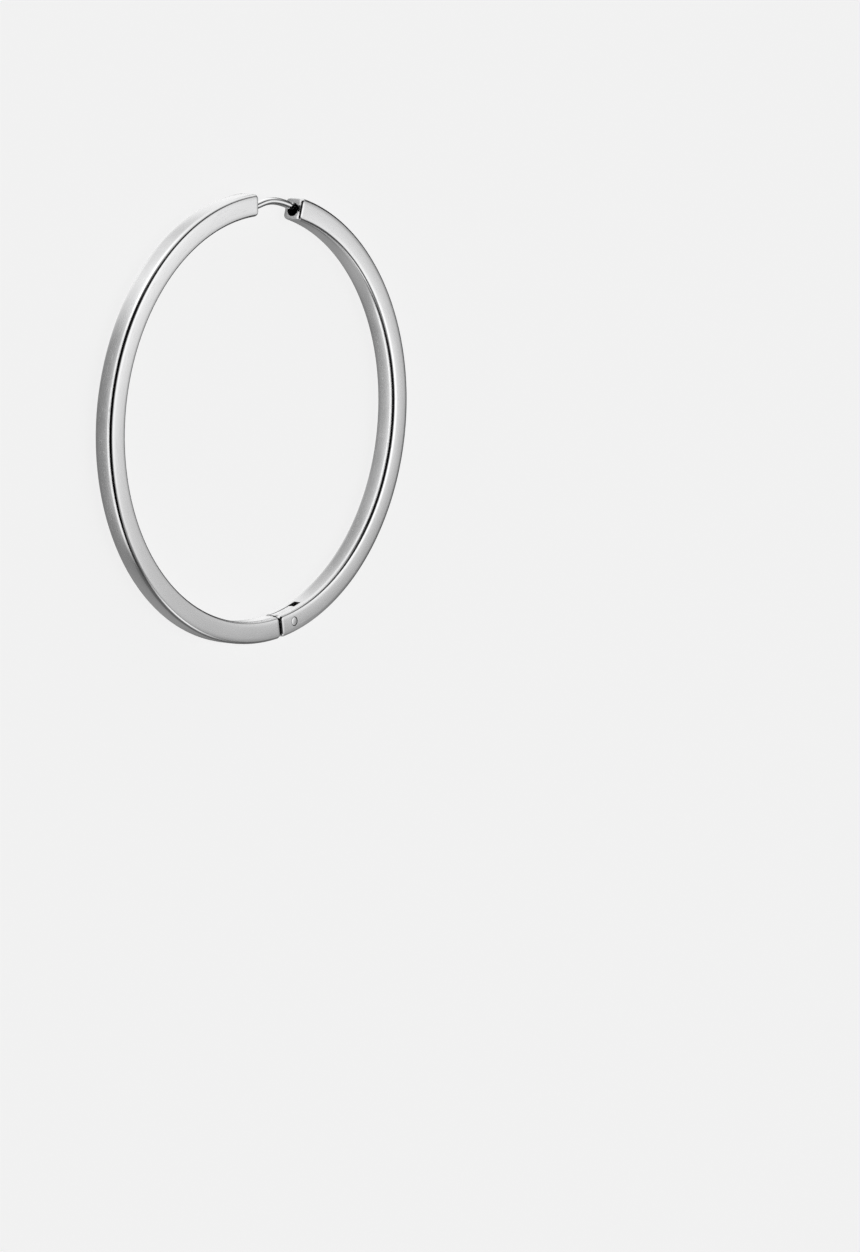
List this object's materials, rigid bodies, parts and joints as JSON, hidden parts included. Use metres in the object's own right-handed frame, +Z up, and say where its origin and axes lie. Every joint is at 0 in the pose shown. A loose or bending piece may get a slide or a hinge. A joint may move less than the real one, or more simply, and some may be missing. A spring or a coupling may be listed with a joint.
{
  "type": "hoop earring",
  "caption": "Hinged hoop of square metal bar with a bowed ear wire that closes into a catch bore; one half swings open about a pin.",
  "frame": {"origin": "centre of the hoop, on the lower side face that it rests on", "axes": "+Z up through the hoop, at right angles to its plane; +Y from the hinge towards the ear wire; +X towards the catch side"},
  "size_m": [0.05, 0.0498, 0.0025],
  "materials": {
    "satin_steel": "satin polished, soft rounded edges",
    "bright_steel": "bright polished"
  },
  "bodies": {
    "post_side": {"post_side_arc": "satin_steel", "ear_wire": "bright_steel"},
    "catch_side": {"catch_side_arc": "satin_steel", "hinge_pin": "bright_steel"}
  },
  "joints": [
    {"name": "hoop_hinge", "type": "hinge", "parent": "post_side", "child": "catch_side", "pos_m": [0.00789, -0.0224, 0.00125], "axis": [0, 0, -1], "range_deg": [0, 35]}
  ]
}
